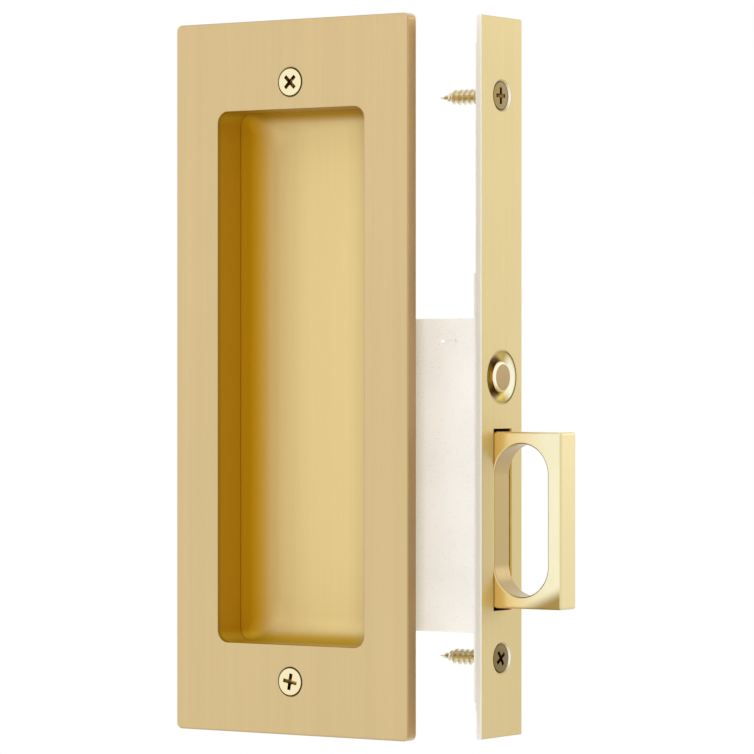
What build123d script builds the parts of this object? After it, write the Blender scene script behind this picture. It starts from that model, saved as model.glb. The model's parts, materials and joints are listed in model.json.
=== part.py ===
from build123d import *
from math import cos, radians, sin
import os

# A lock set for a sliding pocket door. All sizes are in millimetres.
# +X points out of the door's edge, +Y from the door's front face to its back, +Z up.
# The origin is the centre of the inner front's back face, where it seats in the door's edge.

quarter_turn = 90
same_level = 0.01  # how near two levels lie that count as one

# Door
door_thickness = 44.5
backset = 50.0  # from the edge plate's outer face to the flush plate's centre line

# Brass edge plate and the steel inner front behind it
edge_plate_width = 20.0
edge_plate_height = 190.0
edge_plate_thickness = 1.5
edge_plate_corner = 0.4
edge_plate_arris = 0.3
inner_front_thickness = 2.5
inner_front_height = 176.0

# Flush plate, its recess and the pan that closes it
flush_width = 75.0
flush_height = 190.0
flush_thickness = 4.0
flush_corner = 1.6
flush_arris = 0.6
recess_side_border = 13.8
recess_end_border = 23.9
recess_corner = 3.2
recess_rim = 0.4
collar_depth = 10.7  # from the plate's face down to the seam
collar_wall = 1.6
pan_radius = 7.0
pan_sheet = 1.2
seam_step = 0.2
pan_sections = 6

# Countersunk wood screws
screw_head_diameter = 7.9
screw_shank_diameter = 4.2
screw_thread_diameter = 3.6  # midway up the thread
screw_length = 19.0
screw_tip = 5.0
screw_clearance = 0.1
edge_screw_spread = 148.5
edge_screw_sink = 0.3
flush_screw_inset = 15.4  # from the plate's end to the screw's middle, on average
flush_screw_drop = 1.3  # both screws below where they would lie evenly
flush_screw_sink = 0.1
cross_arm = 4.7
cross_width = 1.25
cross_depth = 1.9
cross_taper = 0.55  # size at the bottom of a cross recess over its size at the top
edge_screw_turns = (0.0, 35.0)  # upper and lower
flush_screw_turns = (45.0, 10.0)

# Edge pull
pull_thickness = 7.7
pull_height = 46.4
pull_reach = 20.6  # out of the edge plate, and so also its travel
pull_end_border = 4.1
pull_side_border = 3.1
pull_arris = 0.7
pull_hole_arris = 0.4
pull_drop = 37.6  # from the button's axis down to the pull's middle
slot_front_gap = 0.25
slot_back_gap = 1.05
slot_end_gap = 0.8

# Carriage behind the pull
carriage_length = 8.0
carriage_side_lip = 0.1
carriage_end_lip = 2.2
carriage_ramp = 2.0
carriage_side_play = 0.2
carriage_end_play = 0.15
carriage_stop_gap = 0.1
carriage_screw_spread = 11.0
carriage_screw_diameter = 4.0
carriage_screw_head = 7.4
carriage_screw_bite = 4.0  # depth in the pull
thread_clearance = 0.05

# Steel case
case_depth = 46.0
case_wall = 1.4
case_headroom = 14.0  # from the button's axis up to the inside of the case's top
case_bend = 1.1
cover_corner = 2.0
tab_upper_length = 12.0
tab_lower_length = 18.6
tab_rivet_margin = 5.0
tab_screw_hole = 7.4
rivet_diameter = 3.0
rivet_head = 5.0
rivet_tail = 5.2
rivet_tail_height = 1.2
post_diameter = 5.0
post_tail_diameter = 3.0
post_top_inset = 4.5
post_bottom_inset = 5.5
post_front_inset = 7.0
post_rear_inset = 5.5
cover_screw_diameter = 2.5
cover_screw_head = 4.7
cover_screw_length = 7.0
cover_screw_slot = 0.6
cover_screw_slot_depth = 0.7
cover_screw_turn = 30.0  # of each slot past the one before

# Plastic guide rails
guide_thickness = 2.0
guide_overrun = 0.8  # past the carriage's rear at the end of its travel
guide_side_gap = 0.2
guide_peg_diameter = 1.8
guide_peg_setback = 5.0
guide_peg_pitch = 8.0

# Springs
ejector_spread = 29.0
ejector_coil = 6.2  # middle of the wire
ejector_wire = 0.9
ejector_turns = 9.0
ejector_pocket_depth = 2.0
ejector_post_length = 8.0
catch_coil = 4.4
catch_wire = 0.6
catch_turns = 6.0
catch_post_length = 3.0
spring_seat_gap = 0.1
spring_bore_gap = 0.35
post_flange = 1.0  # how far a spring post's flange reaches past its pin
post_flange_height = 0.8

# Button and its ferrule
ferrule_diameter = 14.4
ferrule_gap = 0.05
ferrule_rim = 0.35
dish_depth = 1.25
ferrule_body_diameter = 10.0
ferrule_body_length = 4.9
ferrule_neck_diameter = 7.0
ferrule_neck_length = 6.6
ferrule_floor = 1.5
button_diameter = 8.4
button_running_gap = 0.05
button_proud = 0.4  # button's face out of the edge plate's face at rest
button_round = 0.9
button_floor_gap = 0.4  # left under the button's head when it is fully pressed
stem_diameter = 4.2
clip_thickness = 0.7
clip_diameter = 8.0
clip_groove_depth = 0.4
clip_mouth_angle = 120.0  # of the bore that is left open

# Catch lever
catch_engagement = 1.2  # nose below the carriage's top edge when it is caught
catch_ride_gap = 0.2  # nose above the carriage's top edge at rest
catch_lift = 1.2  # further lift with the button fully pressed
catch_face_gap = 0.3
nose_thickness = 3.1
pivot_setback = 14.0  # from the nose's holding face back to the pivot
pivot_drop = 11.0  # from the button's axis down to the pivot
pivot_diameter = 3.0
pivot_running_gap = 0.05
hub_diameter = 7.0
lever_thickness = 4.0
lever_arm_depth = 3.4
lever_arm_clearance = 2.3  # over the top of the carriage
lever_nub_diameter = 4.0
lever_nub_lead = 3.0  # nub's middle in front of the pivot
stem_gap = 0.1

# Levels along X
face_x = inner_front_thickness + edge_plate_thickness
front_inside_x = -case_wall
rear_inside_x = case_wall - case_depth
carriage_front_x = front_inside_x - carriage_stop_gap
carriage_rear_x = carriage_front_x - carriage_length
pull_travel = pull_reach
carriage_front_in_x = carriage_front_x - pull_travel
carriage_rear_in_x = carriage_rear_x - pull_travel
guide_rear_x = carriage_rear_in_x - guide_overrun
pull_end_x = face_x + pull_reach
hole_end_x = pull_end_x - pull_end_border
nose_rear_x = carriage_front_in_x + catch_face_gap
nose_front_x = nose_rear_x + nose_thickness
pivot_x = nose_rear_x - pivot_setback
nub_x = pivot_x + lever_nub_lead
nub_front_x = nub_x + lever_nub_diameter / 2
nub_rear_x = nub_x - lever_nub_diameter / 2
flush_x = face_x - backset

# Levels along Y
pull_half_y = pull_thickness / 2
slot_front_y = -pull_half_y - slot_front_gap
slot_back_y = pull_half_y + slot_back_gap
carriage_width = 2 * (slot_back_y + carriage_side_lip)
inside_half_y = carriage_width / 2 + carriage_side_play
case_half_y = inside_half_y + case_wall
guide_half_y = inside_half_y - guide_side_gap
door_front_y = -door_thickness / 2
flush_face_y = door_front_y - flush_thickness
seam_y = flush_face_y + collar_depth

# Levels along Z
pull_z = -pull_drop
slot_height = pull_height + 2 * slot_end_gap
carriage_height = slot_height + 2 * carriage_end_lip
carriage_top_z = pull_z + carriage_height / 2
carriage_bottom_z = pull_z - carriage_height / 2
guide_upper_z = carriage_top_z + carriage_end_play
guide_lower_z = carriage_bottom_z - carriage_end_play
case_top_in_z = case_headroom
case_bottom_in_z = guide_lower_z - guide_thickness
case_top_z = case_top_in_z + case_wall
case_bottom_z = case_bottom_in_z - case_wall
tab_top_z = case_top_z + tab_upper_length
tab_bottom_z = case_bottom_z - tab_lower_length
rivet_places = (tab_top_z - tab_rivet_margin, tab_bottom_z + tab_rivet_margin)
pivot_z = -pivot_drop
nose_tip_z = carriage_top_z + catch_ride_gap
arm_bottom_z = carriage_top_z + lever_arm_clearance
arm_top_z = arm_bottom_z + lever_arm_depth
ejector_places = (pull_z + ejector_spread / 2, pull_z - ejector_spread / 2)

# Recess and the screws above and below it
recess_width = flush_width - 2 * recess_side_border
recess_height = flush_height - 2 * recess_end_border
flush_screw_spread = flush_height - 2 * flush_screw_inset
flush_screw_places = (
    flush_screw_spread / 2 - flush_screw_drop,
    -flush_screw_spread / 2 - flush_screw_drop,
)

# Motion of the button and the catch
nose_reach = pivot_setback + nose_thickness / 2
catch_drop_angle = (catch_engagement + catch_ride_gap) / nose_reach
catch_lift_angle = catch_lift / nose_reach
button_out_travel = catch_drop_angle * pivot_drop
button_in_travel = catch_lift_angle * pivot_drop
button_face_x = face_x + button_proud
ferrule_body_end_x = inner_front_thickness - ferrule_body_length
ferrule_neck_end_x = ferrule_body_end_x - ferrule_neck_length
ferrule_floor_x = ferrule_body_end_x + ferrule_floor
button_head_rear_x = ferrule_floor_x + button_in_travel + button_floor_gap
stem_end_x = nub_front_x + stem_gap
clip_front_x = ferrule_neck_end_x - button_out_travel - button_running_gap
bore_radius = button_diameter / 2 + button_running_gap

# Cover posts, as (x, z)
cover_places = (
    (front_inside_x - post_front_inset, case_top_in_z - post_top_inset),
    (rear_inside_x + post_rear_inset, case_top_in_z - post_top_inset),
    (rear_inside_x + post_rear_inset, case_bottom_in_z + post_bottom_inset),
)


def block(x0, x1, y0, y1, z0, z1):
    """A box between two corners."""
    middle = Pos((x0 + x1) / 2, (y0 + y1) / 2, (z0 + z1) / 2)
    return middle * Box(abs(x1 - x0), abs(y1 - y0), abs(z1 - z0))


def rod_x(diameter, x0, x1, z, y=0.0):
    """A round bar along X."""
    return Pos((x0 + x1) / 2, y, z) * Rot(0, 90, 0) * Cylinder(diameter / 2, abs(x1 - x0))


def rod_y(diameter, y0, y1, x, z):
    """A round bar along Y."""
    return Pos(x, (y0 + y1) / 2, z) * Rot(90, 0, 0) * Cylinder(diameter / 2, abs(y1 - y0))


def rod_z(diameter, z0, z1, x, y):
    """A round bar along Z."""
    return Pos(x, y, (z0 + z1) / 2) * Cylinder(diameter / 2, abs(z1 - z0))


def turned(points):
    """A turned piece about Z, from (radius, height) points that start and end on the axis."""
    outline = Polyline(*points, close=True)
    return revolve(make_face(Plane.XZ * outline), Axis.Z)


def facing_edge(piece, x, z, turn=0.0):
    """Stand a piece made along Z so that its top faces out of the door's edge."""
    return Pos(x, 0, z) * Rot(0, 90, 0) * Rot(0, 0, turn) * piece


def facing_front(piece, x, y, z, turn=0.0):
    """Stand a piece made along Z so that its top faces out of the door's front."""
    return Pos(x, y, z) * Rot(90, 0, 0) * Rot(0, 0, turn) * piece


def countersink(head_diameter, shank_diameter, sink, clearance, depth):
    """The cut for a countersunk screw, with its mouth at height 0."""
    shank = shank_diameter / 2 + clearance
    mouth = head_diameter / 2 + clearance + sink
    return turned([(0, 0), (mouth, 0), (shank, shank - mouth), (shank, -depth), (0, -depth)])


def cross_recess(arm, width, depth):
    """The cut for a cross-head driver."""
    top = Rectangle(arm, width)
    bottom = Pos(0, 0, -depth) * Rectangle(arm * cross_taper, width * cross_taper)
    blade = loft([top, bottom])
    return blade + Rot(0, 0, 90) * blade


def wood_screw(grip):
    """A countersunk wood screw, its head's face at height 0 and its thread below the grip."""
    head = screw_head_diameter / 2
    shank = screw_shank_diameter / 2
    thread = screw_thread_diameter / 2
    body = turned([
        (0, 0),
        (head, 0),
        (shank, shank - head),
        (shank, -grip),
        (thread, -grip),
        (thread, screw_tip - screw_length),
        (0, -screw_length),
    ])
    return body - cross_recess(cross_arm, cross_width, cross_depth)


def wood_screw_hole(sink, depth):
    """The countersunk hole for a wood screw, with its mouth at height 0."""
    return countersink(screw_head_diameter, screw_shank_diameter, sink, screw_clearance, depth)


def coil_spring(coil, wire, turns, length):
    """A compression spring along Z from height 0."""
    height = length - wire
    path = Pos(0, 0, wire / 2) * Helix(height / turns, height, coil / 2)
    section = Plane(origin=path @ 0, z_dir=path % 0) * Circle(wire / 2)
    return sweep(section, path=path)


def edge_screw_cuts():
    depth = face_x + screw_length
    hole = wood_screw_hole(edge_screw_sink, depth)
    return [facing_edge(hole, face_x, z) for z in (edge_screw_spread / 2, -edge_screw_spread / 2)]


def slot_cut():
    """The slot for the pull, through the edge plate, the inner front and the case."""
    half_z = slot_height / 2
    return block(
        carriage_front_x, pull_end_x, slot_front_y, slot_back_y, pull_z - half_z, pull_z + half_z
    )


def make_edge_plate():
    half_y = edge_plate_width / 2
    half_z = edge_plate_height / 2
    plate = block(inner_front_thickness, face_x, -half_y, half_y, -half_z, half_z)
    plate = fillet(plate.edges().filter_by(Axis.X), edge_plate_corner)
    plate = fillet(plate.faces().sort_by(Axis.X)[-1].edges(), edge_plate_arris)
    plate -= edge_screw_cuts()
    plate -= rod_x(ferrule_diameter + 2 * ferrule_gap, 0, face_x, 0)
    return plate - slot_cut()


def make_inner_front():
    half_z = inner_front_height / 2
    strip = block(0, inner_front_thickness, -case_half_y, case_half_y, -half_z, half_z)
    strip -= edge_screw_cuts()
    strip -= rod_x(ferrule_body_diameter + 2 * ferrule_gap, -case_wall, face_x, 0)
    rivet_hole = countersink(rivet_head, rivet_diameter, 0, thread_clearance, case_depth)
    strip -= [facing_edge(rivet_hole, inner_front_thickness, z) for z in rivet_places]
    return strip - slot_cut()


def make_front_rivets():
    head = rivet_head / 2
    shank = rivet_diameter / 2
    grip = inner_front_thickness + case_wall
    rivet = turned([
        (0, 0),
        (head, 0),
        (shank, shank - head),
        (shank, -grip),
        (rivet_tail / 2, -grip),
        (shank, -grip - rivet_tail_height),
        (0, -grip - rivet_tail_height),
    ])
    return [facing_edge(rivet, inner_front_thickness, z) for z in rivet_places]


def make_edge_screws():
    screw = wood_screw(face_x - edge_screw_sink)
    places = (edge_screw_spread / 2, -edge_screw_spread / 2)
    head_x = face_x - edge_screw_sink
    return [facing_edge(screw, head_x, z, turn) for z, turn in zip(places, edge_screw_turns)]


def recess_block(grow, y0, y1):
    """A rounded block as large as the recess, grown all round."""
    outline = RectangleRounded(
        recess_width + 2 * grow, recess_height + 2 * grow, recess_corner + grow
    )
    return extrude(facing_front(outline, flush_x, y0, 0), y0 - y1)


def make_flush_plate():
    half_x = flush_width / 2
    half_z = flush_height / 2
    plate = block(flush_x - half_x, flush_x + half_x, flush_face_y, door_front_y, -half_z, half_z)
    plate = fillet(plate.edges().filter_by(Axis.Y), flush_corner)
    plate = fillet(plate.faces().sort_by(Axis.Y)[0].edges(), flush_arris)
    plate += recess_block(collar_wall, door_front_y, seam_y)
    plate -= recess_block(0, flush_face_y, seam_y)
    rim = plate.faces().sort_by(Axis.Y)[0].inner_wires()[0].edges()
    plate = fillet(rim, recess_rim)
    hole = wood_screw_hole(flush_screw_sink, flush_thickness)
    for z in flush_screw_places:
        plate -= facing_front(hole, flush_x, flush_face_y, z)
    return plate


def pan_form(grow):
    """The pan's inside grown by a wall: rounded rectangles that close in along a quarter circle."""
    radius = pan_radius + grow
    sections = []
    for step in range(pan_sections + 1):
        angle = radians(quarter_turn * step / pan_sections)
        inset = radius * (1 - cos(angle))
        depth = radius * sin(angle)
        width = recess_width + 2 * (seam_step + grow - inset)
        height = recess_height + 2 * (seam_step + grow - inset)
        outline = RectangleRounded(width, height, recess_corner + grow + inset / 2)
        sections.append(facing_front(outline, flush_x, seam_y + depth, 0))
    return loft(sections)


def make_flush_cup():
    return pan_form(pan_sheet) - pan_form(0)


def make_flush_screws():
    screw = wood_screw(flush_thickness - flush_screw_sink)
    head_y = flush_face_y + flush_screw_sink
    return [
        facing_front(screw, flush_x, head_y, z, turn)
        for z, turn in zip(flush_screw_places, flush_screw_turns)
    ]


def make_case_body():
    body = block(-case_depth, 0, -inside_half_y, case_half_y, case_bottom_z, case_top_z)
    back_edges = body.faces().sort_by(Axis.Y)[-1].edges()
    rear_edges = body.faces().sort_by(Axis.X)[0].edges().filter_by(Axis.Y)
    body = fillet(back_edges.sort_by(Axis.X)[:-1] + rear_edges, case_bend)
    body -= block(
        rear_inside_x, front_inside_x, -inside_half_y, inside_half_y, case_bottom_in_z, case_top_in_z
    )
    for z0, z1 in ((case_top_z, tab_top_z), (case_bottom_z, tab_bottom_z)):
        body += block(front_inside_x, 0, -inside_half_y, inside_half_y, z0, z1)
    rivet_hole = rivet_diameter + 2 * thread_clearance
    body -= [rod_x(rivet_hole, front_inside_x, 0, z) for z in rivet_places]
    body -= rod_x(tab_screw_hole, front_inside_x, 0, -edge_screw_spread / 2)
    body -= rod_x(ferrule_body_diameter + 2 * ferrule_gap, front_inside_x, 0, 0)
    body -= slot_cut()
    body -= rod_y(pivot_diameter + 2 * thread_clearance, inside_half_y, case_half_y, pivot_x, pivot_z)
    post_hole = post_tail_diameter + 2 * thread_clearance
    body -= [rod_y(post_hole, inside_half_y, case_half_y, x, z) for x, z in cover_places]
    post_holes = [rod_x(post_hole, -case_depth, rear_inside_x, z) for z in (*ejector_places, 0)]
    body -= post_holes
    return body - guide_pegs(thread_clearance)


def make_case_cover():
    cover = block(-case_depth, 0, -case_half_y, -inside_half_y, case_bottom_z, case_top_z)
    rear_edges = cover.faces().sort_by(Axis.X)[0].edges().filter_by(Axis.Y)
    cover = fillet(rear_edges, cover_corner)
    cover -= rod_y(pivot_diameter + 2 * thread_clearance, -case_half_y, -inside_half_y, pivot_x, pivot_z)
    hole = countersink(cover_screw_head, cover_screw_diameter, 0, thread_clearance, case_wall)
    cover -= [facing_front(hole, x, -case_half_y, z) for x, z in cover_places]
    return cover


def make_cover_posts():
    posts = []
    bore = cover_screw_diameter + 2 * thread_clearance
    bore_end = cover_screw_length - case_wall + thread_clearance - inside_half_y
    for x, z in cover_places:
        post = rod_y(post_diameter, -inside_half_y, inside_half_y, x, z)
        post += rod_y(post_tail_diameter, inside_half_y, case_half_y, x, z)
        posts.append(post - rod_y(bore, -inside_half_y, bore_end, x, z))
    return posts


def make_cover_screws():
    head = cover_screw_head / 2
    shank = cover_screw_diameter / 2
    screw = turned([
        (0, 0),
        (head, 0),
        (shank, shank - head),
        (shank, -cover_screw_length),
        (0, -cover_screw_length),
    ])
    screw -= Box(cover_screw_head, cover_screw_slot, 2 * cover_screw_slot_depth)
    return [
        facing_front(screw, x, -case_half_y, z, place * cover_screw_turn)
        for place, (x, z) in enumerate(cover_places)
    ]


def make_edge_pull():
    half_z = pull_height / 2
    pull = block(carriage_front_x, pull_end_x, -pull_half_y, pull_half_y, pull_z - half_z, pull_z + half_z)
    rear_edges = pull.faces().sort_by(Axis.X)[0].edges()
    shown_edges = [e for e in pull.edges() if e not in rear_edges]
    pull = fillet(shown_edges, pull_arris)
    hole_length = hole_end_x - face_x
    hole_height = pull_height - 2 * pull_side_border
    hole = SlotOverall(hole_height, hole_length, rotation=90)
    hole_x = (face_x + hole_end_x) / 2
    hole = extrude(facing_front(hole, hole_x, 0, pull_z), pull_thickness, both=True)
    pull -= hole
    inside_hole = hole_height / 2 + pull_hole_arris
    rim = [
        e
        for e in pull.edges()
        if abs(abs(e.center().Y) - pull_half_y) < same_level
        and face_x - pull_hole_arris < e.center().X < hole_end_x + pull_hole_arris
        and abs(e.center().Z - pull_z) < inside_hole
    ]
    pull = fillet(rim, pull_hole_arris)
    bore = carriage_screw_diameter + 2 * thread_clearance
    bore_end = carriage_front_x + carriage_screw_bite + thread_clearance
    return pull - [rod_x(bore, carriage_front_x, bore_end, z) for z in carriage_screw_places()]


def carriage_screw_places():
    return (pull_z + carriage_screw_spread / 2, pull_z - carriage_screw_spread / 2)


def make_pull_carriage():
    half_y = carriage_width / 2
    carriage = block(carriage_rear_x, carriage_front_x, -half_y, half_y, carriage_bottom_z, carriage_top_z)
    ramp_edge = carriage.faces().sort_by(Axis.X)[0].edges().sort_by(Axis.Z)[-1]
    carriage = chamfer(ramp_edge, carriage_ramp)
    hole = countersink(
        carriage_screw_head, carriage_screw_diameter, 0, thread_clearance, carriage_length
    )
    carriage -= [Pos(carriage_rear_x, 0, z) * Rot(0, -90, 0) * hole for z in carriage_screw_places()]
    pocket = ejector_coil + ejector_wire + 2 * spring_bore_gap
    pocket_end = carriage_rear_x + ejector_pocket_depth
    return carriage - [rod_x(pocket, carriage_rear_x, pocket_end, z) for z in ejector_places]


def make_carriage_screws():
    head = carriage_screw_head / 2
    shank = carriage_screw_diameter / 2
    length = carriage_length + carriage_screw_bite
    screw = turned([(0, 0), (head, 0), (shank, shank - head), (shank, -length), (0, -length)])
    screw -= cross_recess(cross_arm, cross_width, cross_depth)
    return [Pos(carriage_rear_x, 0, z) * Rot(0, -90, 0) * screw for z in carriage_screw_places()]


def make_ejector_spring(z):
    start_x = rear_inside_x + post_flange_height + spring_seat_gap
    end_x = carriage_rear_x + ejector_pocket_depth - spring_seat_gap
    spring = coil_spring(ejector_coil, ejector_wire, ejector_turns, end_x - start_x)
    return facing_edge(spring, start_x, z)


def catch_spring_start():
    return rear_inside_x + post_flange_height + spring_seat_gap


def make_catch_spring():
    length = nub_rear_x - spring_seat_gap - catch_spring_start()
    spring = coil_spring(catch_coil, catch_wire, catch_turns, length)
    return facing_edge(spring, catch_spring_start(), 0)


def spring_post(pin_diameter, length, z):
    """A post riveted into the case's rear wall, with a flange that the spring stands on."""
    flange = pin_diameter + 2 * post_flange
    post = rod_x(post_tail_diameter, -case_depth, rear_inside_x, z)
    post += rod_x(flange, rear_inside_x, rear_inside_x + post_flange_height, z)
    return post + rod_x(pin_diameter, rear_inside_x, rear_inside_x + length, z)


def make_spring_posts():
    ejector_pin = ejector_coil - ejector_wire - 2 * spring_bore_gap
    catch_pin = catch_coil - catch_wire - 2 * spring_bore_gap
    posts = [spring_post(ejector_pin, ejector_post_length, z) for z in ejector_places]
    return posts + [spring_post(catch_pin, catch_post_length, 0)]


def guide_peg_places():
    first = front_inside_x - guide_peg_setback
    return (first, first - guide_peg_pitch)


def guide_pegs(clearance):
    """The pegs that hold the guide rails in the case, or their holes where there is a clearance."""
    diameter = guide_peg_diameter + 2 * clearance
    upper_z = guide_upper_z + guide_thickness / 2
    pegs = []
    for x in guide_peg_places():
        pegs.append(rod_y(diameter, guide_half_y, case_half_y, x, upper_z))
        pegs.append(rod_z(diameter, case_bottom_z, case_bottom_in_z, x, 0))
    return pegs


def make_guide_upper():
    top_z = guide_upper_z + guide_thickness
    rail = block(guide_rear_x, front_inside_x, -guide_half_y, guide_half_y, guide_upper_z, top_z)
    half_slot = lever_thickness / 2 + 2 * guide_side_gap
    slot_front_x = nose_front_x + guide_thickness / 2
    rail -= block(guide_rear_x, slot_front_x, -half_slot, half_slot, guide_upper_z, top_z)
    return rail + guide_pegs(0)[0::2]


def make_guide_lower():
    rail = block(
        guide_rear_x, front_inside_x, -guide_half_y, guide_half_y, case_bottom_in_z, guide_lower_z
    )
    return rail + guide_pegs(0)[1::2]


def make_button_ferrule():
    """A turned bush along X: a dished flange, a body in the inner front and a neck for the stem."""
    rim = ferrule_diameter / 2 - ferrule_rim
    body = ferrule_body_diameter / 2
    neck = ferrule_neck_diameter / 2
    stem_bore = stem_diameter / 2 + button_running_gap
    outline = Line((ferrule_diameter / 2, 0), (rim, 0))
    outline += EllipticalCenterArc(
        (bore_radius, 0), rim - bore_radius, dish_depth, start_angle=-quarter_turn, arc_size=quarter_turn
    )
    outline += Polyline(
        (bore_radius, -dish_depth),
        (bore_radius, ferrule_floor_x - face_x),
        (stem_bore, ferrule_floor_x - face_x),
        (stem_bore, ferrule_neck_end_x - face_x),
        (neck, ferrule_neck_end_x - face_x),
        (neck, ferrule_body_end_x - face_x),
        (body, ferrule_body_end_x - face_x),
        (body, -edge_plate_thickness),
        (ferrule_diameter / 2, -edge_plate_thickness),
        (ferrule_diameter / 2, 0),
    )
    ferrule = revolve(make_face(Plane.XZ * outline), Axis.Z)
    return facing_edge(ferrule, face_x, 0)


def make_button():
    head = rod_x(button_diameter, button_head_rear_x, button_face_x, 0)
    head = fillet(head.faces().sort_by(Axis.X)[-1].edges(), button_round)
    button = head + rod_x(stem_diameter, stem_end_x, button_head_rear_x, 0)
    groove = rod_x(stem_diameter, clip_front_x - clip_thickness, clip_front_x, 0)
    return button - (groove - rod_x(stem_diameter - 2 * clip_groove_depth, stem_end_x, clip_front_x, 0))


def make_button_clip():
    clip = rod_x(clip_diameter, clip_front_x - clip_thickness, clip_front_x, 0)
    bore = stem_diameter - 2 * clip_groove_depth
    clip -= rod_x(bore, clip_front_x - clip_thickness, clip_front_x, 0)
    mouth = bore * sin(radians(clip_mouth_angle / 2)) / 2
    return clip - block(clip_front_x - clip_thickness, clip_front_x, -mouth, mouth, 0, clip_diameter)


def make_catch_lever():
    """A bell crank: a hub across the case, an arm with the nose and an upright arm with the nub."""
    half_y = lever_thickness / 2
    hub_radius = hub_diameter / 2
    lever = rod_y(hub_diameter, -guide_half_y, guide_half_y, pivot_x, pivot_z)
    arm = Polyline(
        (pivot_x, pivot_z),
        (pivot_x, arm_top_z),
        (nose_front_x, arm_top_z),
        (nose_front_x, arm_bottom_z),
        (nose_rear_x + nose_thickness / 2, nose_tip_z),
        (nose_rear_x, nose_tip_z),
        (nose_rear_x, arm_bottom_z),
        (pivot_x + hub_radius, arm_bottom_z),
        close=True,
    )
    upright = Polyline(
        (nub_rear_x, pivot_z),
        (pivot_x + hub_radius, pivot_z),
        (nub_front_x, 0),
        (nub_rear_x, 0),
        close=True,
    )
    for outline in (arm, upright):
        lever += extrude(make_face(Plane.XZ * outline), half_y, both=True)
    lever += rod_y(lever_nub_diameter, -half_y, half_y, nub_x, 0)
    bore = pivot_diameter + 2 * pivot_running_gap
    return lever - rod_y(bore, -case_half_y, case_half_y, pivot_x, pivot_z)


def make_lever_pivot():
    return rod_y(pivot_diameter, -case_half_y, case_half_y, pivot_x, pivot_z)


pieces = {
    "flush_plate": make_flush_plate(),
    "flush_cup": make_flush_cup(),
    "flush_screws": make_flush_screws(),
    "edge_plate": make_edge_plate(),
    "edge_screws": make_edge_screws(),
    "inner_front": make_inner_front(),
    "front_rivets": make_front_rivets(),
    "case_body": make_case_body(),
    "case_cover": make_case_cover(),
    "cover_posts": make_cover_posts(),
    "cover_screws": make_cover_screws(),
    "button_ferrule": make_button_ferrule(),
    "button": make_button(),
    "button_clip": make_button_clip(),
    "edge_pull": make_edge_pull(),
    "pull_carriage": make_pull_carriage(),
    "carriage_screws": make_carriage_screws(),
    "ejector_spring_upper": make_ejector_spring(ejector_places[0]),
    "ejector_spring_lower": make_ejector_spring(ejector_places[1]),
    "spring_posts": make_spring_posts(),
    "guide_upper": make_guide_upper(),
    "guide_lower": make_guide_lower(),
    "catch_lever": make_catch_lever(),
    "lever_pivot": make_lever_pivot(),
    "catch_spring": make_catch_spring(),
}

os.makedirs("parts", exist_ok=True)
for name, piece in pieces.items():
    solids = piece if isinstance(piece, list) else [piece]
    shape = Compound(children=[s for item in solids for s in item.solids()])
    export_step(shape, f"parts/{name}.step")

print("pull travel", round(pull_travel, 3))
print("button travel in and out", round(button_in_travel, 4), round(button_out_travel, 4))
print("catch angles", round(catch_lift_angle, 5), round(catch_drop_angle, 5))
print("pivot", round(pivot_x, 3), round(pivot_z, 3))
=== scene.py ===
"""Finishes, wood screws, springs and a studio for a pocket door mortise lock."""

import json
import math

import bmesh
import bpy
from mathutils import Matrix, Vector


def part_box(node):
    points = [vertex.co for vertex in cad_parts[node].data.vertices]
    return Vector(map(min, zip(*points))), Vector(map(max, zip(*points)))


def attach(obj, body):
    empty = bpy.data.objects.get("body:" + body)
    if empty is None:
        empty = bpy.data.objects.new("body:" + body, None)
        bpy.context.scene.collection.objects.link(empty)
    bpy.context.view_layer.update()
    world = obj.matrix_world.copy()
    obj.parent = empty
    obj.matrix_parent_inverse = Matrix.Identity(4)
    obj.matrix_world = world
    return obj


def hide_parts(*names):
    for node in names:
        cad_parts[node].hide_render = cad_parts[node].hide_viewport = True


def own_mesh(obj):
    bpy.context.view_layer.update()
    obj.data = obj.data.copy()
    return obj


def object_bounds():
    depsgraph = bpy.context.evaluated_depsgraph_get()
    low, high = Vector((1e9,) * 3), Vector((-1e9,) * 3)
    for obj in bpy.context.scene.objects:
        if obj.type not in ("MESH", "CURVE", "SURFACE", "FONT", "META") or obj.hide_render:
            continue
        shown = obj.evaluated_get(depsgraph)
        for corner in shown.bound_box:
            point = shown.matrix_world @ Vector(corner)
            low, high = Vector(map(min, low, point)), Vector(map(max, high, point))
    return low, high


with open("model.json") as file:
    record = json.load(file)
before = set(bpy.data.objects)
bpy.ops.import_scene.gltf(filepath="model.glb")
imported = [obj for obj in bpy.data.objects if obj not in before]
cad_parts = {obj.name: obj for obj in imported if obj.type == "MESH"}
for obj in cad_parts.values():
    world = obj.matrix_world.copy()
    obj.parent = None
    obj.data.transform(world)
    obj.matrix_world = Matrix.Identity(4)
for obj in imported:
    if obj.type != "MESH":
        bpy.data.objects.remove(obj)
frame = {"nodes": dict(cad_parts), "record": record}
cad_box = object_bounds()

bl_info = {
    "name": "Pocket Door Lock",
    "version": (1, 0, 0),
    "blender": (4, 5, 0),
    "location": "View3D > Sidebar > Lock",
    "description": "Brass and steel finishes, wood screws, springs and a studio for a pocket door lock",
    "category": "Object",
}

MM = 0.001
FULL_TURN = 2 * math.pi
QUARTER_TURN = math.pi / 2
WELD = 1e-7
SMOOTH_ANGLE = math.radians(32)
STEPS_PER_TURN = 24

# Factors that flatten a point onto the plane square to X, and to Z.
ABOUT_X = (0, 1, 1)
ABOUT_Z = (1, 1, 0)

# Ranges of a value: the whole of a mask, and the middle of a noise pattern. In the finishes below, a range
# named turn says how far a surface faces along an axis, where 1 is straight along it.
WHOLE = (0, 1)
NOISE_MIDDLE = (0.3, 0.7)

# Lacquer on the satin brass, which the recess has none of.
SATIN_LACQUER = 0.35

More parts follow.
